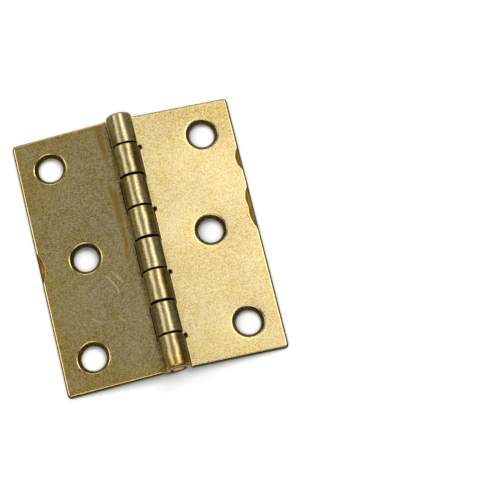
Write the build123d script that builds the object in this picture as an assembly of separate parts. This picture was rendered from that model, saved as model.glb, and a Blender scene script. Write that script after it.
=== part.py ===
from build123d import *
from math import asin, cos, degrees, hypot, radians, sin
import os

# A butt hinge of two brass leaves on one pin. Millimetres and degrees.
# The pin lies along Y, +X is the door leaf's side, and +Z is the front, where the screw heads sit.
# The hinge stands as a low tent: both outer edges on the table, the barrel raised between them.

# Leaves
LEAF_LENGTH = 63.5
LEAF_WIDTH = 26.75  # from the pin's axis to the outer edge
SHEET = 1.3
CORNER_RADIUS = 0.8
EDGE_ROUNDING = 0.55
TENT_TILT = 6.0

# Pin
PIN_DIAMETER = 3.4
PIN_CLEARANCE = 0.05  # all round, in the knuckles
PIN_PROUD = 0.35
PIN_END_BEVEL = 0.35

# Knuckles, counted along both leaves together
KNUCKLE_COUNT = 8
KNUCKLE_GAP = 0.5
KNUCKLE_BEVEL = 0.15
BARREL_END_ROUNDING = 0.6
ROLL_TIP_GAP = 0.1  # between the end of the roll and the leaf's own front
NOTCH_CLEARANCE = 0.35  # between a notch and the knuckle that turns in it
RELIEF_DIAMETER = 0.9  # round punch mark in the corner of a notch
AXIAL_SLIP = 0.08  # how far the door leaf has slid along the pin
FRAME_OVERHANG = 0.35  # how far the frame leaf's end knuckle stands past the leaf

# Screw holes
HOLE_DIAMETER = 6.0
COUNTERSINK_DIAMETER = 7.4
COUNTERSINK_ANGLE = 90.0
COUNTERSINK_RIM_BEVEL = 0.2
END_HOLE_FROM_END = 7.95
END_HOLE_FROM_EDGE = 7.85
MIDDLE_HOLE_FROM_EDGE = 11.3

# Bruises struck into the front of the outer edges: place along the leaf, length, depth across
BRUISE_DROP = 0.4
DOOR_BRUISES = [(16.0, 6.6, 1.45), (5.5, 7.4, 1.5), (1.9, 9.0, 1.4)]
FRAME_BRUISES = [(-0.4, 8.4, 1.45)]

# Sizes that follow from these
BORE_RADIUS = PIN_DIAMETER / 2 + PIN_CLEARANCE
BARREL_RADIUS = BORE_RADIUS + SHEET
NOTCH_DEPTH = BARREL_RADIUS + NOTCH_CLEARANCE
FLAT_WIDTH = LEAF_WIDTH - NOTCH_DEPTH
PITCH = LEAF_LENGTH / KNUCKLE_COUNT
ROLL_START_ANGLE = -90.0
ROLL_TIP_ANGLE = -degrees(asin((BORE_RADIUS - ROLL_TIP_GAP) / BARREL_RADIUS))
ROLL_WRAP = 360.0 + ROLL_START_ANGLE - ROLL_TIP_ANGLE
AXIS_HEIGHT = LEAF_WIDTH * sin(radians(TENT_TILT)) + BARREL_RADIUS * cos(radians(TENT_TILT))
FRONT = -BORE_RADIUS
BACK = -BARREL_RADIUS
MIDDLE = (FRONT + BACK) / 2
OWN_ROWS = range(0, KNUCKLE_COUNT, 2)
NOTCH_ROWS = range(1, KNUCKLE_COUNT, 2)


def row_start(row):
    """Where one knuckle row begins along the pin, counted from the far end."""
    return LEAF_LENGTH / 2 - row * PITCH


def bruise(along, length, depth):
    """A ball that takes a lens out of the front edge: length along it, depth across it."""
    lens_radius = (length**2 / 4 + depth**2) / (2 * depth)
    ball_height = (length**2 / 4 - BRUISE_DROP**2) / (2 * BRUISE_DROP)
    ball = Sphere(hypot(lens_radius, ball_height))
    return Pos(LEAF_WIDTH + lens_radius - depth, along, FRONT + ball_height) * ball


def screw_holes():
    """Two end holes near the outer edge and a middle hole nearer the barrel, sunk from the front."""
    end_x = LEAF_WIDTH - END_HOLE_FROM_EDGE
    middle_x = LEAF_WIDTH - MIDDLE_HOLE_FROM_EDGE
    end_y = LEAF_LENGTH / 2 - END_HOLE_FROM_END
    hole = CounterSinkHole(HOLE_DIAMETER / 2, COUNTERSINK_DIAMETER / 2, SHEET, COUNTERSINK_ANGLE)
    places = [(end_x, end_y), (middle_x, 0), (end_x, -end_y)]
    return [Pos(x, y, FRONT) * hole for x, y in places]


def plate(bruises):
    """The flat of a leaf, from the line of the notches to the outer edge."""
    flat = Pos((NOTCH_DEPTH + LEAF_WIDTH) / 2, 0, MIDDLE) * Box(FLAT_WIDTH, LEAF_LENGTH, SHEET)
    flat = fillet(flat.edges().filter_by(Axis.Z).group_by(Axis.X)[-1], CORNER_RADIUS)
    flat = fillet(flat.faces().sort_by(Axis.Z)[-1].edges().sort_by(Axis.X)[1:], EDGE_ROUNDING)
    flat -= screw_holes()
    hole_rims = flat.faces().sort_by(Axis.Z)[-1].inner_wires()
    flat = chamfer([rim.edge() for rim in hole_rims], COUNTERSINK_RIM_BEVEL)
    return flat - [bruise(*struck) for struck in bruises]


def roll_section():
    """The sheet seen along the pin: it leaves the flat under the pin and curls round it to its tip."""
    with BuildSketch(Plane.XZ) as section:
        with BuildLine():
            outside = CenterArc((0, 0), BARREL_RADIUS, ROLL_START_ANGLE, -ROLL_WRAP)
            inside = CenterArc((0, 0), BORE_RADIUS, ROLL_START_ANGLE, -ROLL_WRAP)
            Line(outside @ 1, inside @ 1)
            Polyline(outside @ 0, (NOTCH_DEPTH, BACK), (NOTCH_DEPTH, FRONT), inside @ 0)
        make_face()
    return section.sketch


def outer_rims(roll):
    """The outer edges of a knuckle's two ends, near end first."""
    circles = roll.edges().filter_by(GeomType.CIRCLE)
    return circles.filter_by(lambda edge: edge.radius > BORE_RADIUS + SHEET / 2).sort_by(Axis.Y)


def knuckle(row, overhang):
    """One rolled knuckle, half a gap short of its row's ends. The first reaches the leaf's end or past it."""
    is_first = row == 0
    far_end = row_start(row) + (overhang if is_first else -KNUCKLE_GAP / 2)
    near_end = row_start(row + 1) + KNUCKLE_GAP / 2
    roll = Pos(0, far_end, 0) * extrude(roll_section(), far_end - near_end)
    if is_first:
        roll = fillet(outer_rims(roll)[-1], BARREL_END_ROUNDING)
        return chamfer(outer_rims(roll)[0], KNUCKLE_BEVEL)
    return chamfer(outer_rims(roll), KNUCKLE_BEVEL)


def relief(row):
    """The round mark that the notching punch leaves in the far corner of a notch."""
    mark = Cylinder(RELIEF_DIAMETER / 2, 2 * SHEET)
    notch_corner = row_start(row) + KNUCKLE_GAP / 2
    return Pos(NOTCH_DEPTH, notch_corner - RELIEF_DIAMETER / 2, MIDDLE) * mark


def leaf(bruises, overhang):
    """A leaf as it lies flat: the plate, with a knuckle rolled from it in every other row."""
    return plate(bruises) + [knuckle(row, overhang) for row in OWN_ROWS]


def pin():
    """A plain rod with bevelled ends, a little longer than the leaves."""
    rod = Rot(X=90) * Cylinder(PIN_DIAMETER / 2, LEAF_LENGTH + 2 * PIN_PROUD)
    return chamfer(rod.edges().filter_by(GeomType.CIRCLE), PIN_END_BEVEL)


# Both leaves are the same rolled sheet, and the frame leaf is turned end for end.
on_pin = Pos(Z=AXIS_HEIGHT)
door_leaf = leaf(DOOR_BRUISES, 0) - [relief(row) for row in NOTCH_ROWS]
hinge = {
    "frame_leaf": on_pin * Rot(Y=-TENT_TILT) * Rot(Z=180) * leaf(FRAME_BRUISES, FRAME_OVERHANG),
    "door_leaf": on_pin * Pos(Y=-AXIAL_SLIP) * Rot(Y=TENT_TILT) * door_leaf,
    "hinge_pin": on_pin * pin(),
}

os.makedirs("parts", exist_ok=True)
for name, piece in hinge.items():
    piece.label = name
    export_step(piece, f"parts/{name}.step")
    print(name, len(piece.solids()), "solid", round(piece.volume, 1), "cubic mm")
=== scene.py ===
# %% [markdown]
# # A brass butt hinge with rolled knuckles
# Two leaves of sheet brass turn on one pin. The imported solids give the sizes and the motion, and this
# lesson adds what the eye looks for: soft stamped edges, an antique finish that is rubbed bright on its
# corners, and old bruises in the outer edges. The frame comes first, so that every surface below can be
# placed by numbers instead of by hand.

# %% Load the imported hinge
from math import asin, cos, degrees, pi, radians, sin

import bpy
import numpy as np
from mathutils import Matrix, Vector
from mathutils.geometry import delaunay_2d_cdt


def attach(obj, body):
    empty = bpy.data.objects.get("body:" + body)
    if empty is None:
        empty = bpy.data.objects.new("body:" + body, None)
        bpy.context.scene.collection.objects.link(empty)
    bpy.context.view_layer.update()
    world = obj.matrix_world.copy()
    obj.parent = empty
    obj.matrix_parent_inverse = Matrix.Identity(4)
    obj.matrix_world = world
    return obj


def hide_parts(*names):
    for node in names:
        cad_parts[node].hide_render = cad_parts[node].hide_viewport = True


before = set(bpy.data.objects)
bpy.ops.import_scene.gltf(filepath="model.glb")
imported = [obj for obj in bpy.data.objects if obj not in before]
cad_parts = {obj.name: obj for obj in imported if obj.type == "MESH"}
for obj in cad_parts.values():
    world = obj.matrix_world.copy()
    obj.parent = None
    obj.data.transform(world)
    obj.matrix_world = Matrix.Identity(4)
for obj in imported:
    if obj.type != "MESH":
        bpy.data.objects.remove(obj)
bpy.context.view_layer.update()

# %% [markdown]
# ## Sizes
# A hinge of this kind is sold by its leaf length, here two and a half inches, and everything else
# follows from that length in the photograph. The sizes could be read back from the solids, but a surface
# is easier to follow when it is written with the same named sizes as the solids, in millimetres.

# %% Sizes in millimetres
MM = 0.001
LEAF_LENGTH = 63.5
LEAF_WIDTH = 26.75  # from the pin's axis to the outer edge
SHEET = 1.3
CORNER_RADIUS = 0.8
EDGE_ROUNDING = 0.55
TENT_TILT = 6.0  # degrees

PIN_DIAMETER = 3.4
PIN_CLEARANCE = 0.05
PIN_PROUD = 0.35
PIN_END_ROUNDING = 0.4

KNUCKLE_COUNT = 8
KNUCKLE_GAP = 0.5
KNUCKLE_ROUNDING = 0.16
BARREL_END_ROUNDING = 0.6
ROLL_TIP_GAP = 0.1
NOTCH_CLEARANCE = 0.35
RELIEF_DIAMETER = 0.9  # round punch mark in the corner of a notch
AXIAL_SLIP = 0.08  # how far the door leaf has slid along the pin
FRAME_OVERHANG = 0.35  # how far the frame leaf's end knuckle stands past the leaf

HOLE_DIAMETER = 6.0
COUNTERSINK_DIAMETER = 7.64
END_HOLE_FROM_END = 7.95
END_HOLE_FROM_EDGE = 7.85
MIDDLE_HOLE_FROM_EDGE = 11.3

# %% Sizes that follow from these
BORE_RADIUS = PIN_DIAMETER / 2 + PIN_CLEARANCE
BARREL_RADIUS = BORE_RADIUS + SHEET
ROLL_RADIUS = BORE_RADIUS + SHEET / 2
NOTCH_DEPTH = BARREL_RADIUS + NOTCH_CLEARANCE
HALF_LENGTH = LEAF_LENGTH / 2
PITCH = LEAF_LENGTH / KNUCKLE_COUNT
ROLL_WRAP = 270.0 + degrees(asin((BORE_RADIUS - ROLL_TIP_GAP) / BARREL_RADIUS))
ROLL_LENGTH = radians(ROLL_WRAP) * ROLL_RADIUS
AXIS_HEIGHT = LEAF_WIDTH * sin(radians(TENT_TILT)) + BARREL_RADIUS * cos(radians(TENT_TILT))
OWN_ROWS, NOTCH_ROWS = range(0, KNUCKLE_COUNT, 2), range(1, KNUCKLE_COUNT, 2)


def row_start(row):
    """Where one knuckle row begins along the pin, counted from the far end."""
    return HALF_LENGTH - row * PITCH


END_HOLE = (LEAF_WIDTH - END_HOLE_FROM_EDGE, HALF_LENGTH - END_HOLE_FROM_END)
MIDDLE_HOLE = (LEAF_WIDTH - MIDDLE_HOLE_FROM_EDGE, 0.0)
HOLES = np.array([END_HOLE, MIDDLE_HOLE, (END_HOLE[0], -END_HOLE[1])])
NOTCH_CORNERS = [row_start(row) + KNUCKLE_GAP / 2 for row in NOTCH_ROWS]
RELIEFS = np.array([(NOTCH_DEPTH, corner - RELIEF_DIAMETER / 2) for corner in NOTCH_CORNERS])
print(f"barrel {2 * BARREL_RADIUS:.2f} mm across, its axis at {AXIS_HEIGHT:.2f} mm")
print(f"{ROLL_LENGTH:.1f} mm of sheet in each roll")

# %% [markdown]
# ## Camera
# The photograph looks steeply down on the hinge, a little from its left, through a long lens. An orbit
# round a point could be turned by eye, but a few numbers that were fitted to the corners and holes put
# the camera there at once.

# %% Camera at the photograph's viewpoint
VIEW_AZIMUTH, VIEW_ELEVATION, VIEW_ROLL = radians(11.764), radians(73.513), radians(1.956)
VIEW_DISTANCE = 540.17 * MM
VIEW_AIM = Vector((23.08, -6.49, 0.0)) * MM
LENS_LENGTH, SENSOR_WIDTH = 164.35, 36.0
NEAR_CLIP, FAR_CLIP = 0.02, 100.0

flat = cos(VIEW_ELEVATION)
look = Vector((flat * sin(VIEW_AZIMUTH), flat * cos(VIEW_AZIMUTH), -sin(VIEW_ELEVATION)))
lens = bpy.data.cameras.new("photo_lens")
lens.lens, lens.sensor_width = LENS_LENGTH, SENSOR_WIDTH
lens.clip_start, lens.clip_end = NEAR_CLIP, FAR_CLIP
camera = bpy.data.objects.new("photo_camera", lens)
bpy.context.scene.collection.objects.link(camera)
facing = look.to_track_quat("-Z", "Y").to_matrix().to_4x4()
rolled_over = Matrix.Rotation(-VIEW_ROLL, 4, "Z")
camera.matrix_world = Matrix.Translation(VIEW_AIM - look * VIEW_DISTANCE) @ facing @ rolled_over
bpy.context.scene.camera = camera
print("camera at", [round(v / MM) for v in camera.matrix_world.translation], "mm")

# %% [markdown]
# ## Nodes and colours
# Every material is a small graph. One helper adds a node with its settings and links, so that a graph
# reads from top to bottom, and one turns the hex colours of a paint chart, which are sRGB, into the
# linear light that Blender mixes.

# %% One helper for nodes and one for colours
ABSOLUTE, MAXIMUM, SUBTRACT = {"operation": "ABSOLUTE"}, {"operation": "MAXIMUM"}, {"operation": "SUBTRACT"}
MULTIPLY, MULTIPLY_ADD = {"operation": "MULTIPLY"}, {"operation": "MULTIPLY_ADD"}
MIX_COLOUR = {"data_type": "RGBA"}
MULTIPLY_COLOUR = {"data_type": "RGBA", "blend_type": "MULTIPLY"}


def add(tree, kind, settings=None, **inputs):
    """One node of that kind. Settings are its own properties.

    Inputs are numbers, colours or other nodes' outputs, and a node stands for its first output. They are
    named by socket, or numbered as i0, i1 and so on.
    """
    node = tree.nodes.new(kind)
    for name, value in (settings or {}).items():
        setattr(node, name, value)
    for name, value in inputs.items():
        is_number = name[0] == "i" and name[1:].isdigit()
        socket = node.inputs[int(name[1:]) if is_number else name.replace("_", " ")]
        if isinstance(value, bpy.types.Node):
            value = value.outputs[0]
        if isinstance(value, bpy.types.NodeSocket):
            tree.links.new(value, socket)
        else:
            socket.default_value = value
    return node


def linear(hex_colour):
    """An sRGB hex colour as linear red, green and blue, by the sRGB curve, and an alpha of one."""
    s = np.array([int(hex_colour[i:i + 2], 16) for i in (1, 3, 5)]) / 255
    return (*np.where(s <= 0.04045, s / 12.92, ((s + 0.055) / 1.055) ** 2.4).tolist(), 1.0)


print("a middle grey in linear light:", [round(v, 3) for v in linear("#808080")])

# %% [markdown]
# ## Table and studio
# The hinge lies on a white table that runs out to white. More light would bleach the brass too, so the
# table itself is white: a matt sheet that takes the shadow, with a little light of its own that only the
# eye and mirrors see. That light fades where the hinge covers the sky, so the shadow stays.
# Brass shows what it mirrors, so the room is dim, with black flags at both sides that darken the flanks
# of the barrel. The dark between the two softboxes is what rounds it, and two narrow strips draw the
# bright rims of the holes.

# %% White table that keeps the shadow
TABLE_HALF = 6.0  # metres
TABLE_WHITE, TABLE_GLOW = "#F4F4F4", "#CECECE"
SHADOW_REACH, SHADOW_LEAN, SHADOW_RAYS = 60 * MM, (0.0, 0.5, 0.87), {"samples": 8}
COVERED_SKY, OPEN_SKY = 0.38, 0.64  # shares of open sky at which the glow begins and is whole
SHADE_MIDDLE, SHADE_HALF = (-3.0 * MM, 24.0 * MM, 0.0), (1.4 * MM, 9.8 * MM)  # deepest, beside the barrel
SHADE_CORE = 0.75  # share of its half size that has no glow at all

table_mesh = bpy.data.meshes.new("table")
corners = [(sx * TABLE_HALF, sy * TABLE_HALF, 0.0) for sx, sy in ((-1, -1), (1, -1), (1, 1), (-1, 1))]
table_mesh.from_pydata(corners, [], [(0, 1, 2, 3)])
table = bpy.data.objects.new("table", table_mesh)
bpy.context.scene.collection.objects.link(table)

paper = bpy.data.materials.new("white_table_paper")
paper.use_nodes = True
tree = paper.node_tree
tree.nodes.clear()
rays = add(tree, "ShaderNodeLightPath").outputs
seen = add(tree, "ShaderNodeMath", MAXIMUM, i0=rays["Is Camera Ray"], i1=rays["Is Transmission Ray"])
seen = add(tree, "ShaderNodeMath", MAXIMUM, i0=seen, i1=rays["Is Glossy Ray"])
sky = add(tree, "ShaderNodeAmbientOcclusion", SHADOW_RAYS, Distance=SHADOW_REACH, Normal=SHADOW_LEAN)
open_sky = add(tree, "ShaderNodeMapRange", i0=sky.outputs["AO"], i1=COVERED_SKY, i2=OPEN_SKY)
place = add(tree, "ShaderNodeTexCoord").outputs["Object"]
spot = add(tree, "ShaderNodeVectorMath", SUBTRACT, i0=place, i1=SHADE_MIDDLE)
stretch = (1 / SHADE_HALF[0], 1 / SHADE_HALF[1], 0.0)
spot = add(tree, "ShaderNodeVectorMath", MULTIPLY, i0=spot, i1=stretch)
spot = add(tree, "ShaderNodeVectorMath", ABSOLUTE, i0=spot)
spot = add(tree, "ShaderNodeSeparateXYZ", Vector=spot)
spot = add(tree, "ShaderNodeMath", MAXIMUM, i0=spot.outputs["X"], i1=spot.outputs["Y"])
smooth = {"interpolation_type": "SMOOTHSTEP"}
past_barrel = add(tree, "ShaderNodeMapRange", smooth, i0=spot, i1=SHADE_CORE, i2=1.0)
glow = add(tree, "ShaderNodeMath", MULTIPLY, i0=seen, i1=open_sky)
glow = add(tree, "ShaderNodeMath", MULTIPLY, i0=glow, i1=past_barrel)
matt = add(tree, "ShaderNodeBsdfDiffuse", Color=linear(TABLE_WHITE))
own = add(tree, "ShaderNodeEmission", Color=linear(TABLE_GLOW), Strength=glow)
both = add(tree, "ShaderNodeAddShader", i0=matt, i1=own)
add(tree, "ShaderNodeOutputMaterial", Surface=both)
table_mesh.materials.append(paper)
print("table", 2 * TABLE_HALF, "m across")

# %% A dim room with black flags at both sides
ROOM_LEVELS = ((0.3, 0.22), (0.55, 0.09))  # how far up a direction points, and the brightness there
FLAG_START, FLAG_END, FLAG_LEAVES = 0.7, 0.92, 0.15  # how far sideways, and the share of light left there
BACKDROP = "#DDDDDD"

world = bpy.data.worlds.new("dim_studio")
world.use_nodes = True
bpy.context.scene.world = world
tree = world.node_tree
tree.nodes.clear()
way = add(tree, "ShaderNodeTexCoord").outputs["Generated"]
way = add(tree, "ShaderNodeSeparateXYZ", Vector=way).outputs
room = add(tree, "ShaderNodeValToRGB", Fac=way["Z"])
for stop, (height, level) in zip(room.color_ramp.elements, ROOM_LEVELS):
    stop.position, stop.color = height, (level, level, level, 1.0)
sideways = add(tree, "ShaderNodeMath", ABSOLUTE, i0=way["X"])
flags = add(tree, "ShaderNodeMapRange", i0=sideways, i1=FLAG_START, i2=FLAG_END, i3=1.0, i4=FLAG_LEAVES)
dim = add(tree, "ShaderNodeMix", MULTIPLY_COLOUR, i0=1.0, i6=room, i7=flags)
seen = add(tree, "ShaderNodeLightPath").outputs["Is Camera Ray"]
backdrop = add(tree, "ShaderNodeMix", MIX_COLOUR, i0=seen, i6=dim.outputs[2], i7=linear(BACKDROP))
air = add(tree, "ShaderNodeBackground", Color=backdrop.outputs[2])
add(tree, "ShaderNodeOutputWorld", Surface=air)
print("room levels:", [round(stop.color[0], 2) for stop in room.color_ramp.elements])

# %% Two softboxes and two strips
LAMP_REACH = 1.0  # metres


def softbox(name, lean, back, width, length, brightness):
    """An area lamp that leans from overhead by lean degrees to +X and by back degrees to +Y.

    Its power is brightness times pi times its area, so it looks as bright as a white of that value.
    """
    lean, back = radians(lean), radians(back)
    towards = Vector((sin(lean) * cos(back), sin(back), cos(lean) * cos(back)))
    light = bpy.data.lights.new(name, "AREA")
    light.shape, light.size, light.size_y = "RECTANGLE", width, length
    light.energy = brightness * pi * width * length
    lamp = bpy.data.objects.new(name, light)
    bpy.context.scene.collection.objects.link(lamp)
    facing = towards.to_track_quat("Z", "Y").to_matrix().to_4x4()
    lamp.matrix_world = Matrix.Translation(towards * LAMP_REACH) @ facing
    return lamp


# Name, two leans in degrees, width and length in metres, brightness
lamps = [
    softbox("right_softbox", 22.4, 17.0, 0.45, 0.34, 3.65),
    softbox("left_softbox", -40.5, 17.0, 0.34, 0.45, 2.4),
    softbox("front_strip", -5.0, -26.0, 0.8, 0.3, 2.2),
    softbox("back_strip", -5.0, 60.0, 0.8, 0.3, 1.7),
]
print("softboxes:", {lamp.name: round(lamp.data.energy, 2) for lamp in lamps}, "W")

# %% [markdown]
# ## The blank
# A leaf starts as a flat blank: a plate with four tongues, stamped from sheet with its holes. The
# tongues are rolled into knuckles afterwards. The mesh is made in the same order, because a flat outline
# is easy to write down and to round off, and rolling it is then one formula. Flat places on the sheet
# are (w, y): w runs from the pin's axis to the outer edge and is negative along the part that will be
# rolled, y runs along the pin.

# %% The outline of the blank
OUTLINE_STEP, ARC_POINTS = 0.22, 8
NOTCH_RADIUS, TIP_RADIUS, FREE_TIP_RADIUS = 0.2, 0.25, 0.7
SHOULDER_RADIUS, OVERHANG_RADIUS = 0.17, 0.12
SAME_PLACE = 1e-6


def rounded_path(corners):
    """A closed path through right-angled corners (w, y, radius), with its tangents.

    Each corner p becomes a quarter circle between the unit directions a, back along the path, and b,
    onwards: p + r(a + b) - r(b cos t + a sin t), with the tangent b sin t - a cos t, as t goes from 0 to a
    right angle. The straight run to the next quarter circle is cut into equal steps.
    """
    place, radius = corners[:, :2], corners[:, 2:]
    onward = np.roll(place, -1, 0) - place
    onward /= np.linalg.norm(onward, axis=1, keepdims=True)
    back = -np.roll(onward, 1, 0)
    t = np.linspace(0, pi / 2, ARC_POINTS)[:, None]
    points, tangents = [], []
    for p, r, a, b, following in zip(place, radius, back, onward, np.roll(place + radius * back, -1, 0)):
        arc = p + r * (a + b) - r * (b * np.cos(t) + a * np.sin(t))
        count = max(int(np.linalg.norm(following - arc[-1]) / OUTLINE_STEP), 1)
        run = arc[-1] + (following - arc[-1]) * np.linspace(0, 1, count + 1)[1:-1, None]
        points += [arc, run]
        tangents += [b * np.sin(t) - a * np.cos(t), np.repeat(b[None], len(run), 0)]
    points, tangents = np.concatenate(points), np.concatenate(tangents)
    is_new = np.linalg.norm(points - np.roll(points, 1, 0), axis=1) > SAME_PLACE
    return points[is_new], tangents[is_new]


def blank_corners(is_frame):
    """The corners of the blank and their radii, anticlockwise from the near outer corner."""
    tip, bite = -ROLL_LENGTH, RELIEF_DIAMETER / 2
    corners = [(LEAF_WIDTH, -HALF_LENGTH, CORNER_RADIUS), (LEAF_WIDTH, HALF_LENGTH, CORNER_RADIUS)]
    for row in OWN_ROWS:
        near = row_start(row + 1) + KNUCKLE_GAP / 2
        if row == 0 and is_frame:
            past_end = HALF_LENGTH + FRAME_OVERHANG
            corners += [(NOTCH_DEPTH, HALF_LENGTH, OVERHANG_RADIUS)]
            corners += [(NOTCH_DEPTH, past_end, SHOULDER_RADIUS), (tip, past_end, FREE_TIP_RADIUS)]
        elif row == 0:
            corners += [(tip, HALF_LENGTH, FREE_TIP_RADIUS)]
        else:
            far = row_start(row) - KNUCKLE_GAP / 2
            corners += [(NOTCH_DEPTH, far, NOTCH_RADIUS), (tip, far, TIP_RADIUS)]
        corners += [(tip, near, TIP_RADIUS)]
        if is_frame:
            corners += [(NOTCH_DEPTH, near, NOTCH_RADIUS)]
        else:
            deep, past = NOTCH_DEPTH + bite, near - RELIEF_DIAMETER
            corners += [(deep, near, bite), (deep, past, bite), (NOTCH_DEPTH, past, NOTCH_RADIUS)]
    return np.array(corners + [(NOTCH_DEPTH, -HALF_LENGTH, SHOULDER_RADIUS)])


outline, _ = rounded_path(blank_corners(False))
perimeter = np.linalg.norm(outline - np.roll(outline, 1, 0), axis=1).sum()
print(f"door blank: {len(outline)} points, {perimeter:.0f} mm round")

# %% [markdown]
# ## Rims
# A punch rounds the sheet over on the side it enters, and tumbling softens what is left, so no edge of
# this hinge is sharp. A bevel modifier would round all edges alike. A profile carried along the outline
# can be wide on the plate's front, narrow in the notches and round at the barrel's free end, and it
# knows which of its lines are rubbed bright.

# %% Edge profile carried along the outline
LEAD = 0.04  # short flat beside each rounding
NOTCH_ROUNDING, BACK_ROUNDING = 0.12, 0.06
PLATE_BLEND = 1.0  # from a notch's depth to the plate's full rounding
ROLL_BLEND = (-1.5, 0.5)  # past the axis, from the plate's back edge to the knuckle's rounding
FREE_END_START, FREE_END_FULL = 2.0, 0.7  # before the barrel's free end
TOUCH = 0.01
ARC = np.linspace(0, pi / 2, 6)


def ease(x, low, high):
    """The smooth step 3s^2 - 2s^3 of s, which goes from 0 at low to 1 at high."""
    s = np.clip((x - low) / (high - low), 0, 1)
    return s * s * (3 - 2 * s)


def edge_rim(points, tangents):
    """Rows of (w, y, n) from the front face, round the edge and the wall, to the back face.

    n is counted from mid sheet. A rounding of radius r lies r(1 - sin a) inside the outline and
    r(1 - cos a) below the face, as a goes from 0 to a right angle.
    """
    w, y = points.T
    on_outer_edge = w > LEAF_WIDTH - CORNER_RADIUS - TOUCH
    on_plate_edge = (np.abs(y) > HALF_LENGTH - CORNER_RADIUS - TOUCH) | on_outer_edge
    widening = ease(w, NOTCH_DEPTH, NOTCH_DEPTH + PLATE_BLEND) * on_plate_edge
    front = NOTCH_ROUNDING + (EDGE_ROUNDING - NOTCH_ROUNDING) * widening
    free_end = ease(y, HALF_LENGTH - FREE_END_START, HALF_LENGTH - FREE_END_FULL)
    knuckle_end = KNUCKLE_ROUNDING + (BARREL_END_ROUNDING - KNUCKLE_ROUNDING) * free_end
    behind = BACK_ROUNDING + (knuckle_end - BACK_ROUNDING) * ease(-w, *ROLL_BLEND)
    front, behind, flat = front[:, None], behind[:, None], np.zeros((len(w), 1))
    inset = np.hstack([
        front + LEAD, front * (1 - np.sin(ARC)), flat,
        flat, behind * (1 - np.cos(ARC)), behind + LEAD,
    ])
    drop = np.hstack([
        flat, front * (1 - np.cos(ARC)), front + LEAD,
        SHEET - behind - LEAD + flat, SHEET - behind * (1 - np.sin(ARC)), SHEET + flat,
    ])
    inward = np.stack([-tangents[:, 1], tangents[:, 0]], 1)
    place = points[:, None] + inset[:, :, None] * inward[:, None]
    return np.dstack([place, SHEET / 2 - drop])


door_edge = edge_rim(*rounded_path(blank_corners(False)))
print("edge profile:", door_edge.shape[1], "lines of", door_edge.shape[0], "points")

# %% Profile of a countersunk hole
RIM_ROUNDING, RIM_TURN = 0.62, np.linspace(0, pi / 4, 7)
CONE_FOOT = 0.08  # where the cone eases into the bore
HOLE_POINTS = 96


def hole_rim(centre):
    """A profile turned round the hole's axis: rounded rim, 45 degree cone, straight bore, back edge.

    The rim's arc of radius r touches the face and the cone r tan(22.5) from where they would meet.
    """
    sink, bore = COUNTERSINK_DIAMETER / 2, HOLE_DIAMETER / 2
    cone = sink - bore
    rim_start = sink + RIM_ROUNDING * np.tan(pi / 8)
    radius = np.r_[
        rim_start + LEAD, rim_start - RIM_ROUNDING * np.sin(RIM_TURN),
        bore + CONE_FOOT, bore + CONE_FOOT / 4, bore,
        bore, bore + BACK_ROUNDING, bore + BACK_ROUNDING + LEAD,
    ]
    drop = np.r_[
        0, RIM_ROUNDING * (1 - np.cos(RIM_TURN)),
        cone - CONE_FOOT, cone, cone + CONE_FOOT,
        SHEET - BACK_ROUNDING, SHEET, SHEET,
    ]
    turn = np.linspace(0, 2 * pi, HOLE_POINTS, endpoint=False)[:, None]
    n = np.repeat(SHEET / 2 - drop[None], HOLE_POINTS, 0)
    return np.dstack([centre[0] + radius * np.cos(turn), centre[1] + radius * np.sin(turn), n])


print("hole profile:", hole_rim(HOLES[0]).shape[1], "lines of", HOLE_POINTS, "points")

# %% [markdown]
# ## Faces
# Between the rims the front and back are one flat field with holes in it. A grid cannot follow round
# holes, and an n-gon has no inner points to bend. So an even grid of points is laid inside, finer where
# the bruises and scratches will be, and a Delaunay triangulation joins it to the rims.

# %% Scratches and distances on the sheet
SCRATCH_HALF = 0.15
# Each scratch from one place (w, y) on the sheet to another
SCRATCHES = np.array([
    (11.7, 5.5, 9.6, 8.9), (9.6, 9.1, 9.6, 9.8), (10.0, 5.0, 8.1, 7.9),
    (11.0, 15.8, 9.9, 17.0), (16.7, 14.9, 15.0, 16.7), (12.65, -13.3, 12.65, -12.7),
])
NO_SCRATCHES = np.zeros((0, 4))


def from_scratch(points, scratches):
    """How far each point (w, y) is from the nearest scratch.

    The foot of the distance on a scratch is held between its two ends.
    """
    start, way = scratches[:, :2], scratches[:, 2:] - scratches[:, :2]
    reach = points[:, None] - start
    foot = np.clip((reach * way).sum(2) / (way**2).sum(1), 0, 1)
    return np.linalg.norm(reach - foot[..., None] * way, axis=2).min(1, initial=LEAF_LENGTH)


def from_nearest(points, middles):
    """How far each point (w, y) is from the nearest of some middles."""
    return np.linalg.norm(points[:, None] - middles, axis=2).min(1)


print(len(SCRATCHES), "scratches on the frame leaf")

# %% Fields of points between the rims
PLATE_STEP, TONGUE_STEP, BRUISE_STEP, SCRATCH_STEP = 0.42, 0.25, 0.16, 0.15
PLATE_MARGIN, NOTCH_MARGIN, TONGUE_MARGIN, RIM_MARGIN = 0.75, 0.5, 0.4, 0.3
FREE_END_MARGIN, TONGUE_OVERLAP = 0.85, 0.1
BRUISE_CLEAR, BRUISE_BORDER, BRUISE_EDGE = 0.7, 0.5, 0.62  # across the edge
BRUISE_PAST, BRUISE_GAP = 0.6, 0.2  # along the edge
INSIDE_ONLY, MERGE_WITHIN = 1, 1e-6


def grid(w_low, w_high, y_low, y_high, step):
    """Evenly spaced points that fill a rectangle, both borders included."""
    w = np.linspace(w_low, w_high, int((w_high - w_low) / step) + 2)
    y = np.linspace(y_low, y_high, int((y_high - y_low) / step) + 2)
    return np.stack(np.meshgrid(w, y, indexing="ij"), -1).reshape(-1, 2)


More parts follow.
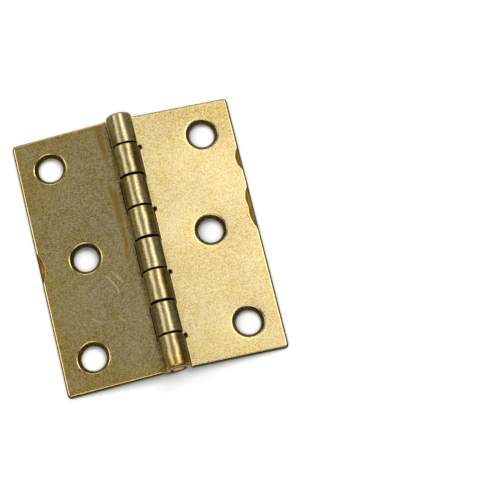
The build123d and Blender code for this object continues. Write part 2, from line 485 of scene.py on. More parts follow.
def field(hole_radius, bruises, scratches, is_frame):
    """The points inside a blank: a grid, finer under bruises, along scratches and on the tongues."""
    plate_end = HALF_LENGTH - PLATE_MARGIN
    plate = grid(NOTCH_DEPTH + NOTCH_MARGIN, LEAF_WIDTH - PLATE_MARGIN, -plate_end, plate_end, PLATE_STEP)
    plate = plate[from_scratch(plate, scratches) > 2 * SCRATCH_HALF]
    parts = []
    for start, end in scratches.reshape(-1, 2, 2):
        length = np.linalg.norm(end - start)
        across = (end - start)[::-1] * (-1, 1) / length * SCRATCH_HALF
        line = start + (end - start) * np.linspace(0, 1, int(length / SCRATCH_STEP) + 2)[:, None]
        parts += [line - across, line, line + across]
    for along, length, depth in bruises:
        low, high = along - length / 2 - BRUISE_PAST, along + length / 2 + BRUISE_PAST
        is_inside = plate[:, 0] < LEAF_WIDTH - depth - BRUISE_CLEAR
        plate = plate[is_inside | (plate[:, 1] < low) | (plate[:, 1] > high)]
        inner, outer = LEAF_WIDTH - depth - BRUISE_BORDER, LEAF_WIDTH - BRUISE_EDGE
        parts.append(grid(inner, outer, low + BRUISE_GAP, high - BRUISE_GAP, BRUISE_STEP))
    for row in OWN_ROWS:
        free_margin = FREE_END_MARGIN - FRAME_OVERHANG * is_frame
        far = row_start(row) - (free_margin if row == 0 else KNUCKLE_GAP / 2 + TONGUE_MARGIN)
        near = row_start(row + 1) + KNUCKLE_GAP / 2 + TONGUE_MARGIN
        tip, root = -ROLL_LENGTH + TONGUE_MARGIN, NOTCH_DEPTH + TONGUE_OVERLAP
        parts.append(grid(tip, root, near, far, TONGUE_STEP))
    points = np.vstack([plate, *parts])
    clear = from_nearest(points, HOLES) > hole_radius + RIM_MARGIN
    if not is_frame:
        clear &= from_nearest(points, RELIEFS) > RELIEF_DIAMETER / 2 + RIM_MARGIN
    return points[clear]


def fill(loops, inner):
    """Triangles that join closed loops of points through the inner points, all turned the same way.

    The first loop is the outside. A triangle with all its corners on one other loop lies in a hole.
    """
    points, sizes = np.vstack([*loops, inner]), [len(loop) for loop in loops]
    hole = np.r_[np.repeat(np.arange(len(loops)), sizes), np.zeros(len(inner), int)]
    rings = [np.arange(size) + start for size, start in zip(sizes, np.cumsum([0] + sizes))]
    edges = np.vstack([np.stack([ring, np.roll(ring, -1)], 1) for ring in rings]).tolist()
    places = [Vector(p) for p in points.tolist()]
    _, _, faces, origin, _, _ = delaunay_2d_cdt(places, edges, [], INSIDE_ONLY, MERGE_WITHIN)
    triangles = np.array([known[0] for known in origin])[np.array(faces)]
    triangles = triangles[(np.ptp(hole[triangles], axis=1) > 0) | (hole[triangles[:, 0]] == 0)]
    a, b, c = points[triangles].transpose(1, 0, 2)
    is_turned = (b - a)[:, 0] * (c - a)[:, 1] < (b - a)[:, 1] * (c - a)[:, 0]
    triangles[is_turned] = triangles[is_turned][:, ::-1]
    return triangles


print("door field:", len(field(COUNTERSINK_DIAMETER / 2, [], NO_SCRATCHES, False)), "points")

# %% [markdown]
# ## What the sheet has been through
# The countersinks were pressed, so the face dips slightly towards each hole, and sheet that has been
# stamped and tumbled is never quite flat. Something hard has struck the outer edges. Nearly all of this
# lowers the front of the sheet, so it is one field of thickness over (w, y), and the back stays as flat
# as the wood behind it.

# %% Thickness of the sheet, and where it is bruised
BRUISE_DROP = 0.4
# Bruises in each outer edge: place along the leaf, length, depth across
DOOR_BRUISES = [(16.0, 6.6, 1.45), (5.5, 7.4, 1.5), (1.9, 9.0, 1.4)]
FRAME_BRUISES = [(-0.4, 8.4, 1.45)]
HOLE_DIP, HOLE_DIP_REACH = 0.06, 0.9
PLATE_FLAT = 3.0  # from a notch's depth to where the sheet may wave freely
LONG_WAVE, LONG_WAVELENGTH, LONG_WAVES = 0.014, 17.0, 9
SHORT_WAVE, SHORT_WAVELENGTH, SHORT_WAVES = 0.004, 6.0, 12
TEAR, TEAR_LENGTH, TEAR_WAVES, TEAR_STRETCH, TEAR_FULL = 0.03, 1.6, 7, 0.4, 0.15
# The bruises' raised lip: height, width, the painted highlight along it, and how far in it reaches
LIP_HEIGHT, LIP_WIDTH, LIP_HIGHLIGHT, LIP_REACH = 0.012, 0.16, 0.4, 1.0
BRUISE_FULL, EDGE_KEEPS = 0.03, (0.2, 0.42)  # drop at which it shows, distances from the outer edge


def ripple(w, y, wavelength, count, seed):
    """A sum of sine waves in random directions, about as wide as the wavelength says, between -1 and 1."""
    random = np.random.default_rng(seed)
    direction, phase = random.uniform(0, 2 * pi, (2, count))
    pace = 2 * pi / wavelength * random.uniform(0.7, 1.4, count)
    along = w[:, None] * np.cos(direction) + y[:, None] * np.sin(direction)
    return np.mean(np.sin(pace * along + phase), 1)


def thickness(w, y, bruises, seed):
    """The sheet's thickness, and, each 0 to 1, bruised or not, how far inside a bruise, and a painted
    highlight on its lip.

    A bruise is the lowest of the face and a ball: centre height - sqrt(R^2 - distance^2), with a raised
    lip along its border.
    """
    from_hole = from_nearest(np.stack([w, y], 1), HOLES) - COUNTERSINK_DIAMETER / 2
    face = SHEET - HOLE_DIP * np.exp(-np.clip(from_hole, 0, None) / HOLE_DIP_REACH)
    long_wave = LONG_WAVE * ripple(w, y, LONG_WAVELENGTH, LONG_WAVES, seed)
    short_wave = SHORT_WAVE * ripple(w, y, SHORT_WAVELENGTH, SHORT_WAVES, seed + 1)
    face += ease(w, NOTCH_DEPTH, NOTCH_DEPTH + PLATE_FLAT) * (long_wave + short_wave)
    bruised, inwards, lip = np.zeros((3, len(w)))
    for along, length, depth in bruises:
        lens_radius = (length**2 / 4 + depth**2) / (2 * depth)
        height = (length**2 / 4 - BRUISE_DROP**2) / (2 * BRUISE_DROP)
        across = np.hypot(w - LEAF_WIDTH - lens_radius + depth, y - along)
        ball = height - np.sqrt(np.clip(lens_radius**2 + height**2 - across**2, 0, None))
        tear = TEAR * ripple(w * TEAR_STRETCH, y, TEAR_LENGTH, TEAR_WAVES, seed + 2)
        torn = ball + tear * ease(-ball, 0, TEAR_FULL)
        raised = np.exp(-(((across - lens_radius - LIP_WIDTH) / LIP_WIDTH) ** 2))
        raised *= w > LEAF_WIDTH - depth - LIP_REACH
        bruised = np.maximum(bruised, ease(-ball, 0.0, BRUISE_FULL))
        inwards = np.maximum(inwards, np.clip((lens_radius - across) / depth, 0, 1))
        lip = np.maximum(lip, raised)
        face = np.minimum(face + LIP_HEIGHT * raised, SHEET + np.where(ball < 0, torn, 1))
    return face, bruised * ease(LEAF_WIDTH - w, *EDGE_KEEPS), inwards, LIP_HIGHLIGHT * lip * (1 - bruised)


print("bruises:", len(DOOR_BRUISES), "on the door leaf,", len(FRAME_BRUISES), "on the frame leaf")

# %% [markdown]
# ## Rolling
# Rolling keeps the middle of the sheet at its length and carries it round the pin. A curve modifier
# could bend the blank, but the formula is short: the flat part stays, and the distance past the axis
# becomes an angle.


# %% Rolling the blank and standing the leaf on the table
def rolled(w, y, n):
    """The blank's (w, y, n) in the leaf's own frame.

    Past the axis, w becomes the angle w / R round the pin, at the distance R - n from its axis.
    """
    turn = np.minimum(w, 0) / ROLL_RADIUS - pi / 2
    reach = ROLL_RADIUS - n
    return np.stack([np.maximum(w, 0) + reach * np.cos(turn), y, reach * np.sin(turn)], 1)


def stood(places, is_frame):
    """The leaf's own frame in the hinge's.

    The frame leaf is turned end for end, and each leaf slopes by the tent's tilt to its outer edge.
    """
    side = -1 if is_frame else 1
    x, y, z = (places * (side, side, 1)).T
    tilt = radians(TENT_TILT) * side
    slip = 0 if is_frame else AXIAL_SLIP
    height = AXIS_HEIGHT - x * sin(tilt) + z * cos(tilt)
    return np.stack([x * cos(tilt) + z * sin(tilt), y - slip, height], 1)


outer_edge = rolled(np.array([LEAF_WIDTH]), np.zeros(1), np.array([-SHEET / 2]))
print("outer edge stands at", np.round(stood(outer_edge, False)[0], 3), "mm")

# %% [markdown]
# ## A leaf
# The rims and the two fields share their border points, so the leaf is one closed skin without any
# joining. Separate front, back and wall could be merged by distance instead, but that may miss a point
# or join two. Each point keeps the line of the profile that it lies on, because the wear below follows
# those lines.

# %% A leaf as one closed surface
HOLE_LINES = 100  # lines of the hole profile are counted from here
IN_FIELD = -1
RIM_ROOM = 0.15  # between a hole's profile and the first field points


def strip(rows, columns, start, outwards):
    """Four-sided faces of a closed band of rows, from the index where its points start."""
    here = np.arange(rows)[:, None] * columns + np.arange(columns - 1) + start
    after = np.roll(here, -1, 0)
    sides = [here, here + 1, after + 1, after]
    return np.stack(sides if outwards else sides[::-1], -1).reshape(-1, 4)


def leaf_surface(bruises, is_frame):
    """The blank's points (w, y, n), the profile line of each, the rims' quads and the fields' triangles."""
    rims = [edge_rim(*rounded_path(blank_corners(is_frame)))]
    rims += [hole_rim(centre) for centre in HOLES]
    starts = np.cumsum([0] + [rim.shape[0] * rim.shape[1] for rim in rims])
    quads = [strip(*rim.shape[:2], start, k == 0) for k, (rim, start) in enumerate(zip(rims, starts))]
    points = [rim.reshape(-1, 3) for rim in rims]
    line = [np.tile(np.arange(rim.shape[1]), len(rim)) + HOLE_LINES * (k > 0) for k, rim in enumerate(rims)]
    triangles, total = [], starts[-1]
    front = (0, COUNTERSINK_DIAMETER / 2, SHEET / 2, bruises, SCRATCHES if is_frame else NO_SCRATCHES)
    back = (-1, HOLE_DIAMETER / 2, -SHEET / 2, [], NO_SCRATCHES)
    for side, hole_radius, n, side_bruises, scratches in (front, back):
        inner = field(hole_radius + RIM_ROOM, side_bruises, scratches, is_frame)
        known = [np.arange(len(rim)) * rim.shape[1] + side % rim.shape[1] for rim in rims]
        known = [places + start for places, start in zip(known, starts)] + [total + np.arange(len(inner))]
        joined = np.concatenate(known)[fill([rim[:, side, :2] for rim in rims], inner)]
        triangles.append(joined if side == 0 else joined[:, ::-1])
        points.append(np.column_stack([inner, np.full(len(inner), n)]))
        line.append(np.full(len(inner), IN_FIELD))
        total += len(inner)
    return np.vstack(points), np.concatenate(line), np.vstack(quads), np.vstack(triangles)


def open_edges(*faces):
    """How many edges do not have exactly two faces."""
    pairs = np.vstack([np.stack([f, np.roll(f, -1, 1)], -1).reshape(-1, 2) for f in faces])
    return int((np.unique(np.sort(pairs, 1), axis=0, return_counts=True)[1] != 2).sum())


skins = {"frame": leaf_surface(FRAME_BRUISES, True), "door": leaf_surface(DOOR_BRUISES, False)}
for name, (points, _, quads, triangles) in skins.items():
    count, gaps = 2 * len(quads) + len(triangles), open_edges(quads, triangles)
    print(f"{name} leaf: {len(points)} points, {count} triangles, {gaps} open edges")

# %% [markdown]
# ## Wear and painted light
# Tumbling and hands rub the dark finish off the roundings, and it stays where nothing reaches: on the
# walls, in the notches and in the bore. The same marks also carry painted light: shade down the edge
# roundings and walls, in the notches, punch marks and bore, in the crease beside the barrel, on the
# barrel's flanks and end faces and at the door leaf's far end, and highlights on the barrel's crest and
# on the lips of the bruises. A mask could be painted or found from curvature, but each rim point knows
# its line of the profile, so wear is one value for each line. The rest are soft steps and fades over the
# flat sheet. The material reads all of them as attributes, so the wear and the painted light follow the
# shape.

# %% Wear and tarnish along the rims
MARKS = ("worn_and_highlight", "tarnish_and_shade", "handled", "bruised", "scar", "stain", "scratched")
# One value for each line of a profile, from the front face round the edge to the back face
EDGE_WORN = np.array([0.4, 1, 1, 0, 0, 0, 0, 0, 0, 0, 0, 0, 0.1, 0.6, 0.5, 0.2])
# Dark from the middle of each edge rounding down the wall: patina together with painted shade, standing in
# for dark reflections
EDGE_TARNISH_AND_SHADE = np.array([0, 0, 0, 0.95, 0.95, 0.9, 0.9, 0.85, 0.85, 0.9, 0.9, 0.85, 0.6, 0.1, 0, 0])
HOLE_WORN = np.array([0.3, 0.8, 1, 1, 1, 0.5, 0.1, 0, 0, 0, 0, 0, 0.3, 0.2])
HOLE_TARNISH = np.array([0, 0, 0, 0, 0, 0.2, 0.65, 0.7, 0.7, 0.75, 0.8, 0.9, 0.4, 0])
FIRST_ARC, WALL_TOP, WALL_FOOT, END_FACE = 1, 7, 8, 10  # lines of the edge profile
ROLL_SIDE = 1.0  # nearer the axis than this, the sheet belongs to the roll
# Notches: dark patina together with painted shade, where the gaps beside the knuckles lie in shadow
NOTCH_LIP_TARNISH_AND_SHADE, NOTCH_TARNISH_AND_SHADE = 0.3, 0.9
NOTCH_REACH, RELIEF_REACH, END_REACH = 0.3, 0.2, 1.0


def rim_wear(points, line, is_frame):
    """Worn and tarnished by profile line, with painted shade down the walls, in notches, punch marks and
    bore.
    """
    w, y = points[:, :2].T
    worn_and_highlight, tarnish_and_shade = np.zeros((2, len(w)))
    on_edge, on_hole = (line >= 0) & (line < HOLE_LINES), line >= HOLE_LINES
    worn_and_highlight[on_edge], tarnish_and_shade[on_edge] = EDGE_WORN[line[on_edge]], EDGE_TARNISH_AND_SHADE[line[on_edge]]
    hole_line = line[on_hole] - HOLE_LINES
    worn_and_highlight[on_hole], tarnish_and_shade[on_hole] = HOLE_WORN[hole_line], HOLE_TARNISH[hole_line]
    in_notch = on_edge & (w < NOTCH_DEPTH + NOTCH_REACH) & (np.abs(y) < HALF_LENGTH - END_REACH)
    in_notch &= (line <= WALL_FOOT) & (is_frame | (w < ROLL_SIDE))
    dark = np.where((line <= FIRST_ARC) & (w > ROLL_SIDE), NOTCH_LIP_TARNISH_AND_SHADE, NOTCH_TARNISH_AND_SHADE)
    worn_and_highlight, tarnish_and_shade = np.where(in_notch, 0, worn_and_highlight), np.where(in_notch, dark, tarnish_and_shade)
    # Punch marks and the bore: painted shade, as dark as the shadow inside them
    near_relief = from_nearest(points[:, :2], RELIEFS) < RELIEF_DIAMETER / 2 + RELIEF_REACH
    in_relief = on_edge & near_relief & (w > NOTCH_DEPTH) & (not is_frame)
    in_bore = on_edge & (w < ROLL_SIDE) & (line <= WALL_TOP)
    return np.where(in_relief | in_bore, 0, worn_and_highlight), np.where(in_relief | in_bore, 1, tarnish_and_shade)


print("edge profile lines:", len(EDGE_WORN), "hole profile lines:", len(HOLE_WORN))

# %% Painted highlight and shade on the barrel
# Painted shade down each flank, in steps: amount, and the two angles from the top between which it comes in
LEFT_FLANK_SHADE = ((0.45, 25, 43), (0.32, 48, 66), (-0.77, 88, 112))
RIGHT_FLANK_SHADE = ((0.7, 26, 42), (-0.45, 62, 78), (-0.25, 88, 112))
# The crest is rubbed, and also painted paler and glossier where the barrel's highlights run
CREST_WORN_AND_HIGHLIGHT, CREST_ANGLES = 0.2, (18, 38)


def barrel_highlight_and_shade(w, n, is_frame):
    """Painted highlight on the rubbed crest, painted shade down the flanks, by the angle from the top to
    +X.
    """
    turn, on_roll = np.degrees(w / ROLL_RADIUS + pi) * (1 if is_frame else -1), (w < 0) & (n < 0)
    left = sum(amount * ease(-turn, low, high) for amount, low, high in LEFT_FLANK_SHADE)
    right = sum(amount * ease(turn, low, high) for amount, low, high in RIGHT_FLANK_SHADE)
    return CREST_WORN_AND_HIGHLIGHT * (1 - ease(np.abs(turn), *CREST_ANGLES)) * on_roll, (left + right) * on_roll


print("steps of tarnish:", len(LEFT_FLANK_SHADE), "on the left flank,", len(RIGHT_FLANK_SHADE), "on the right")

# %% Hands and stains
HANDLED_EDGE, HANDLED_EDGE_REACH, HANDLED_HOLE, HANDLED_HOLE_REACH = 0.9, 2.5, 0.6, 2.0
GRIP, GRIP_ALONG, GRIP_ACROSS_REACH, GRIP_ALONG_REACH = 0.6, 24, 9, 10
HANDLED_ALL, DOOR_HANDLED = 0.2, 0.35
# Stain strands on the frame leaf: start and end along it, distance from the axis at both, half width
STAIN_STRANDS = [
    (-33.0, -21.0, 6.1, 5.7, 0.4), (-33.0, -18.0, 4.8, 5.5, 0.55),
    (-16.5, -4.0, 6.1, 5.5, 0.35), (-16.0, 11.5, 4.9, 5.7, 0.55),
]
STRAND_SWAY, STRAND_WAVELENGTH, STRAND_WAVES = 0.2, 5.0, 5
STRAND_FADE_IN, STRAND_FADE_OUT = 0.12, 0.5  # shares of a strand's length


def handled_places(points, is_frame):
    """Where hands have warmed the finish: fades from edges and holes, and round the corner that is held."""
    w, y = points[:, :2].T
    from_edge = np.minimum(LEAF_WIDTH - w, HALF_LENGTH - np.abs(y))
    from_hole = np.clip(from_nearest(points[:, :2], HOLES) - COUNTERSINK_DIAMETER / 2, 0, None)
    across, along = (w - LEAF_WIDTH) / GRIP_ACROSS_REACH, (y - GRIP_ALONG) / GRIP_ALONG_REACH
    handled = HANDLED_EDGE * np.exp(-from_edge / HANDLED_EDGE_REACH)
    handled += HANDLED_HOLE * np.exp(-from_hole / HANDLED_HOLE_REACH)
    handled += GRIP * np.exp(-(across**2) - along**2)
    return np.clip(handled + HANDLED_ALL * is_frame, 0, 1) * (1 if is_frame else DOOR_HANDLED)


def stained_places(w, y):
    """Strands of stain: each a Gaussian across a swaying line that fades at both its ends."""
    stain = np.zeros_like(w)
    for start, end, first_w, last_w, width in STAIN_STRANDS:
        run = np.clip((y - start) / (end - start), 0, 1)
        seed = int(10 * first_w)
        sway = STRAND_SWAY * ripple(0 * y, y, STRAND_WAVELENGTH, STRAND_WAVES, seed)
        strand = first_w + (last_w - first_w) * run + sway
        fade = ease(run, 0, STRAND_FADE_IN) * ease(1 - run, 0, STRAND_FADE_OUT)
        stain += np.exp(-(((w - strand) / width) ** 2)) * fade
    return np.clip(stain, 0, 1) * (w > NOTCH_DEPTH)


print("stain strands:", len(STAIN_STRANDS), "on the frame leaf")

# %% All marks of a leaf
# How far the roll's inside and the crease beside the barrel blend in, and the painted shade in that crease
# on each leaf
INSIDE_BLEND, CREASE_BLEND, CREASE_SHADE_FRAME, CREASE_SHADE_DOOR = 1.5, 1.2, 0.35, 0.1
# Painted shade on the barrel's end faces, within this distance of the end
END_FACE_SHADE, END_FACE_DEPTH = 0.45, 0.1
# Painted shade, darker towards the door leaf's far end
FAR_END_SHADE, FAR_END_SHADE_ALONG = 0.11, (18, 29)  # the door leaf's far end


def life_marks(points, line, bruised, lip, is_frame):
    """Rubbed and highlighted, patina and painted shade, handled, bruised, stained, scratched, 0 to 1 at
    each point.
    """
    w, y, n = points.T
    is_front = n > 0
    worn_and_highlight, tarnish_and_shade = rim_wear(points, line, is_frame)
    crest, flank = barrel_highlight_and_shade(w, n, is_frame)
    # Inside the roll: painted shade
    inside_roll = ease(-w, -NOTCH_DEPTH, -NOTCH_DEPTH + INSIDE_BLEND) * is_front
    # Painted shade in the crease beside the barrel, stronger on the frame leaf
    crease = (CREASE_SHADE_FRAME if is_frame else CREASE_SHADE_DOOR) * is_front
    crease = crease * (1 - ease(w, NOTCH_DEPTH, NOTCH_DEPTH + CREASE_BLEND))
    far_end_shade = FAR_END_SHADE * ease(y, *FAR_END_SHADE_ALONG) * is_front * (not is_frame)
    tarnish_and_shade = np.maximum.reduce([tarnish_and_shade, inside_roll, crease, flank, far_end_shade])
    # The end faces of the barrel carry painted shade
    end_face = (y > HALF_LENGTH - END_FACE_DEPTH) & (w < NOTCH_DEPTH)
    end_face &= (line >= WALL_FOOT) & (line <= END_FACE)
    scratched = np.clip(1 - from_scratch(points[:, :2], SCRATCHES) / SCRATCH_HALF, 0, 1)
    # Rubbed rims, with painted highlights on the crest and the bruises' lips; patina, with painted shade
    return {
        "worn_and_highlight": np.maximum.reduce([worn_and_highlight, crest, lip]) * (1 - bruised),
        "tarnish_and_shade": np.where(end_face, END_FACE_SHADE, tarnish_and_shade),
        "handled": handled_places(points, is_frame),
        "bruised": bruised,
        "stain": stained_places(w, y) * is_front * is_frame,
        "scratched": scratched * is_front * is_frame,
    }


print("marks:", ", ".join(MARKS))

# %% [markdown]
# ## Leaves on the table
# A leaf is bruised, dented and rubbed long after it was rolled, but on the flat blank each of these is
# one number at each point. So the points are lowered and marked while flat, then rolled and stood on the
# table. The rolled leaf could be sculpted instead, but that would not follow from the sizes.


# %% From surface to Blender mesh
def mesh_piece(name, places, faces, marks, sheet):
    """A smooth mesh object at the origin from places in millimetres.

    Its marks and its place on the flat sheet become attributes.
    """
    mesh = bpy.data.meshes.new(name)
    mesh.from_pydata((places * MM).tolist(), [], faces)
    mesh.shade_smooth()
    for mark, values in marks.items():
        mesh.attributes.new(mark, "FLOAT", "POINT").data.foreach_set("value", values.astype(np.float32))
    flat = (sheet * MM).astype(np.float32).ravel()
    mesh.attributes.new("sheet", "FLOAT_VECTOR", "POINT").data.foreach_set("vector", flat)
    mesh.validate()
    piece = bpy.data.objects.new(name, mesh)
    bpy.context.scene.collection.objects.link(piece)
    return piece


BRUISED_DOWN_TO = -0.4  # from mid sheet
DENT, DENT_SPREAD, DENT_DEEPEST, DENT_SIZE, DENT_WAVES = 0.02, 0.07, 0.06, 3.5, 9
DENTS_FROM = -1.0  # past the axis, in the roll
SCAR = {"frame": (0.0, 0.5), "door": (0.45, 0.55)}  # at the border of a bruise, and more towards its inside

leaves = {}
for side, bruises, seed in (("frame", FRAME_BRUISES, 11), ("door", DOOR_BRUISES, 23)):
    is_frame = side == "frame"
    points, line, quads, triangles = skins[side]
    w, y, n = points.T
    tall, bruised, inwards, lip = thickness(w, y, bruises, seed)
    bruised = bruised * (n > BRUISED_DOWN_TO)
    n = -SHEET / 2 + (n + SHEET / 2) * np.where(w > NOTCH_DEPTH, tall / SHEET, 1)
    dents = np.clip(DENT + DENT_SPREAD * ripple(w, y, DENT_SIZE, DENT_WAVES, seed + 5), 0, DENT_DEEPEST)
    n = np.where((w < DENTS_FROM) & (n < 0), n + dents * ease(-n, 0, SHEET / 2), n)
    places = stood(rolled(w, y, n), is_frame)
    border, gain = SCAR[side]
    marks = life_marks(points, line, bruised, lip * (n > 0), is_frame) | {"scar": border + gain * inwards}
    faces = quads.tolist() + triangles.tolist()
    leaves[side] = mesh_piece(side + "_leaf_sheet", places, faces, marks, points)
    print(leaves[side].name, "from", np.round(places.min(0), 2), "to", np.round(places.max(0), 2), "mm")

# %% [markdown]
# ## The pin
# The pin is a drawn rod, cut to length and tumbled with the leaves. Only its two ends show. A cylinder
# primitive would end in a hard disc, so the rod is a profile turned round the axis: crowned end, soft
# shoulder, straight side.

# %% Pin as a turned profile
PIN_TURNS, CROWN_POINTS = 64, 7
CROWN, CROWN_START = 0.06, 0.02  # drop at the pin's full radius, radius of the small flat in the middle
SHOULDER_DROP = PIN_END_ROUNDING - 0.04
# Painted shade: a darker end, and a dark ring at its rim where the groove lies in shadow
PIN_END_SHADE, PIN_GROOVE_SHADE = 0.4, (0.5, 0.3)  # on the end, and where the dark ring comes in from the side


def turned_pin():
    """(radius, y) carried round the pin's axis: crown, quarter-circle shoulder, side, and back again."""
    half, radius = HALF_LENGTH + PIN_PROUD, PIN_DIAMETER / 2
    crown = np.linspace(CROWN_START, radius - PIN_END_ROUNDING, CROWN_POINTS)
    end_radius = np.r_[crown, radius - PIN_END_ROUNDING + PIN_END_ROUNDING * np.sin(ARC[1:])]
    crown_drop = CROWN * (crown / radius) ** 2
    end_y = half - np.r_[crown_drop, crown_drop[-1] + SHOULDER_DROP * (1 - np.cos(ARC[1:]))]
    r, y = np.r_[end_radius, end_radius[::-1]], np.r_[end_y, -end_y[::-1]]
    turn = np.linspace(0, 2 * pi, PIN_TURNS, endpoint=False)[:, None]
    along = np.repeat(y[None], PIN_TURNS, 0)
    places = np.dstack([r * np.sin(turn), along, AXIS_HEIGHT + r * np.cos(turn)]).reshape(-1, 3)
    first = np.arange(PIN_TURNS) * len(r)
    caps = [first.tolist(), (first[::-1] + len(r) - 1).tolist()]
    return places, strip(PIN_TURNS, len(r), 0, False).tolist() + caps


places, faces = turned_pin()
from_side = PIN_DIAMETER / 2 - np.hypot(places[:, 0], places[:, 2] - AXIS_HEIGHT)
marks = dict.fromkeys(MARKS, np.zeros(len(places)))
# Painted shade on the pin's end and in the groove at its rim
marks["tarnish_and_shade"] = PIN_END_SHADE + (1 - PIN_END_SHADE) * ease(from_side, *PIN_GROOVE_SHADE)
pin = mesh_piece("hinge_pin_rod", places, faces, marks, places)
print(pin.name, len(faces), "faces,", round(np.ptp(places[:, 1]), 2), "mm long")

# %% [markdown]
# ## Antique brass
# Antique brass is plain brass that was darkened in a chemical bath and then tumbled, so the dark stays
# in the pits and the high spots come back yellow. To the eye it is a satin metal, speckled at the size
# of a sand grain, tinted and clouded at the size of a fingertip. The colour could be one texture, but
# noises of real sizes keep it true at any distance.

# %% Antique brass
PALE_BRASS, BRASS, BROWN_BRASS, DARK_OXIDE = "#EEDFAE", "#D1BE88", "#9A8244", "#2E230C"
BRASS_AT, BROWN_AT = 0.35, 0.65
HANDLED_GOLD, STAIN_BROWN = "#FCF0C2", "#C2922E"
TORN_BROWN, TORN_BRASS, TORN_GOLD = "#5A3A0E", "#C48420", "#FFD266"
GRAIN = 0.22 * MM  # the real grain is finer, and is drawn this coarse so that it shows
PITTING, MOTTLE, TINT, CLOUD = 0.5 * MM, 2.6 * MM, 5.0 * MM, 14.0 * MM
PIT_DEPTH, PIT_STRENGTH = 0.012 * MM, 0.25
STREAK_ACROSS, STREAK_ALONG = 0.25 * MM, 2.5 * MM
BASE_DARK, GRAIN_DARK, GRAIN_LOST = 0.18, 0.52, -0.3  # grain fades where the finish is dark already
# What darkens the mixture: noise, patina with painted shade, and scratches, which lighten it; rubbing and
# painted highlights lighten it after
DARKENS = {"mottle": 0.07, "cloud": 0.2, "tarnish_and_shade": 0.7, "scratched": -0.9}
WORN_LIGHTENS = -0.35
TINT_RANGE, TINT_SATURATION = (0.3, 0.7), (0.92, 1.08)
STREAK_RANGE, STREAK_TEARS, STREAK_STAINS = (0.3, 0.7), (0.5, -0.25), (0.6, 0.5)
BRUISE_COVERS = 0.95
BASE_ROUGH, GRAIN_ROUGH = 0.372, -0.09
ROUGHENS = {"tarnish_and_shade": 0.12, "worn_and_highlight": -0.12, "scratched": 0.36}


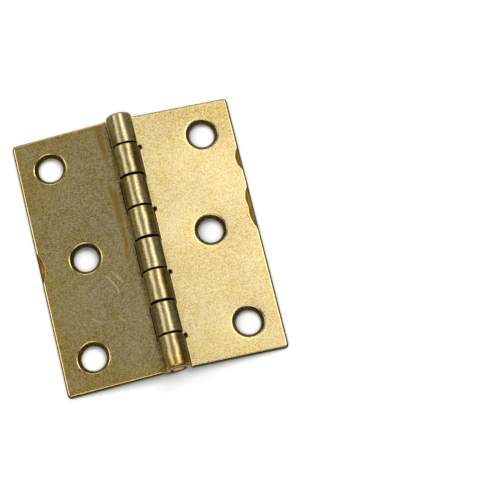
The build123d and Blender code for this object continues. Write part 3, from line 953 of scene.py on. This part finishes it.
def antique_brass(name):
    """The finish of leaves and pin: satin speckled yellow metal, brown unrubbed and in painted shade, pale
    in painted highlights.
    """
    material = bpy.data.materials.new(name)
    material.use_nodes = True
    tree = material.node_tree
    tree.nodes.clear()
    place = add(tree, "ShaderNodeTexCoord").outputs["Object"]
    read = "ShaderNodeAttribute"
    marks = {mark: add(tree, read, {"attribute_name": mark}).outputs["Fac"] for mark in MARKS}
    for pattern, size in (("mottle", MOTTLE), ("cloud", CLOUD), ("pits", PITTING)):
        marks[pattern] = add(tree, "ShaderNodeTexNoise", Vector=place, Scale=1 / size, Detail=1.0)
    # Speckled patina: the darker the mixture, the browner the brass
    sand = add(tree, "ShaderNodeTexVoronoi", Vector=place, Scale=1 / GRAIN).outputs["Color"]
    grain = add(tree, "ShaderNodeSeparateColor", Color=sand).outputs["Red"]
    grain = add(tree, "ShaderNodeMath", SUBTRACT, i0=grain, i1=0.5)
    bare = add(tree, "ShaderNodeMath", MULTIPLY_ADD, i0=marks["tarnish_and_shade"], i1=GRAIN_LOST, i2=GRAIN_DARK)
    dark = add(tree, "ShaderNodeMath", MULTIPLY_ADD, i0=grain, i1=bare, i2=BASE_DARK)
    for mark, share in DARKENS.items():
        dark = add(tree, "ShaderNodeMath", MULTIPLY_ADD, i0=marks[mark], i1=share, i2=dark)
    clamped = MULTIPLY_ADD | {"use_clamp": True}
    dark = add(tree, "ShaderNodeMath", clamped, i0=marks["worn_and_highlight"], i1=WORN_LIGHTENS, i2=dark)
    patina = add(tree, "ShaderNodeValToRGB", Fac=dark)
    stops = patina.color_ramp.elements
    stops[0].color, stops[1].color = linear(PALE_BRASS), linear(DARK_OXIDE)
    for position, brass in ((BRASS_AT, BRASS), (BROWN_AT, BROWN_BRASS)):
        stops.new(position).color = linear(brass)
    # Gold where hands have been, and tints of a few millimetres
    gold = linear(HANDLED_GOLD)
    colour = add(tree, "ShaderNodeMix", MULTIPLY_COLOUR, i0=marks["handled"], i6=patina, i7=gold).outputs[2]
    tint = add(tree, "ShaderNodeTexNoise", Vector=place, Scale=1 / TINT, Detail=2.0)
    low, high = TINT_SATURATION
    tint = add(tree, "ShaderNodeMapRange", i0=tint, i1=TINT_RANGE[0], i2=TINT_RANGE[1], i3=low, i4=high)
    colour = add(tree, "ShaderNodeHueSaturation", Saturation=tint, Color=colour)
    # Streaks along the sheet, in the stains and in the torn metal of the bruises
    sheet = add(tree, read, {"attribute_name": "sheet"}).outputs["Vector"]
    pace = (1 / STREAK_ACROSS, 1 / STREAK_ALONG, 0.0)
    drawn = add(tree, "ShaderNodeVectorMath", MULTIPLY, i0=sheet, i1=pace)
    streak = add(tree, "ShaderNodeTexNoise", Vector=drawn, Scale=1.0, Detail=2.0)
    streak = add(tree, "ShaderNodeMapRange", i0=streak, i1=STREAK_RANGE[0], i2=STREAK_RANGE[1])
    share, rest = STREAK_TEARS
    torn = add(tree, "ShaderNodeMath", MULTIPLY_ADD, i0=streak, i1=share, i2=rest)
    added = {"operation": "ADD", "use_clamp": True}
    torn = add(tree, "ShaderNodeMath", added, i0=marks["scar"], i1=torn)
    torn = add(tree, "ShaderNodeValToRGB", Fac=torn)
    stops = torn.color_ramp.elements
    stops[0].color, stops[1].color = linear(TORN_BROWN), linear(TORN_GOLD)
    stops.new(0.5).color = linear(TORN_BRASS)
    share, rest = STREAK_STAINS
    strands = add(tree, "ShaderNodeMath", MULTIPLY_ADD, i0=streak, i1=share, i2=rest)
    covers = (("stain", strands, linear(STAIN_BROWN)), ("bruised", BRUISE_COVERS, torn))
    for mark, strength, brown in covers:
        amount = add(tree, "ShaderNodeMath", MULTIPLY, i0=marks[mark], i1=strength)
        colour = add(tree, "ShaderNodeMix", MIX_COLOUR, i0=amount, i6=colour, i7=brown).outputs[2]
    # Satin gloss, finer where it is rubbed
    rough = add(tree, "ShaderNodeMath", MULTIPLY_ADD, i0=grain, i1=GRAIN_ROUGH, i2=BASE_ROUGH)
    for mark, share in ROUGHENS.items():
        rough = add(tree, "ShaderNodeMath", MULTIPLY_ADD, i0=marks[mark], i1=share, i2=rough)
    bump = add(tree, "ShaderNodeBump", Strength=PIT_STRENGTH, Distance=PIT_DEPTH, Height=marks["pits"])
    surface = {"Base_Color": colour, "Metallic": 1.0, "Roughness": rough, "Normal": bump}
    brass = add(tree, "ShaderNodeBsdfPrincipled", **surface)
    add(tree, "ShaderNodeOutputMaterial", Surface=brass)
    return material


leaf_brass, rod_brass = antique_brass("antique_brass_sheet"), antique_brass("antique_brass_rod")
for piece, material in ((leaves["frame"], leaf_brass), (leaves["door"], leaf_brass), (pin, rod_brass)):
    piece.data.materials.append(material)
print("finishes:", leaf_brass.name, rod_brass.name)

# %% [markdown]
# ## Joining the frame
# Each surface now stands for its solid and rides on the same body, so the door leaf swings on the pin
# with the solid's joint.

# %% Pieces on their bodies
for piece, node, body, finish in (
    (leaves["frame"], "frame_leaf", "frame_side", "antique_brass"),
    (pin, "hinge_pin", "frame_side", "pin_brass"),
    (leaves["door"], "door_leaf", "door_side", "antique_brass"),
):
    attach(piece, body)
    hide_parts(node)
    print(piece.name, "stands for", node, "on", body)

# %% Colours shown as written
bpy.context.scene.view_settings.view_transform = "Standard"
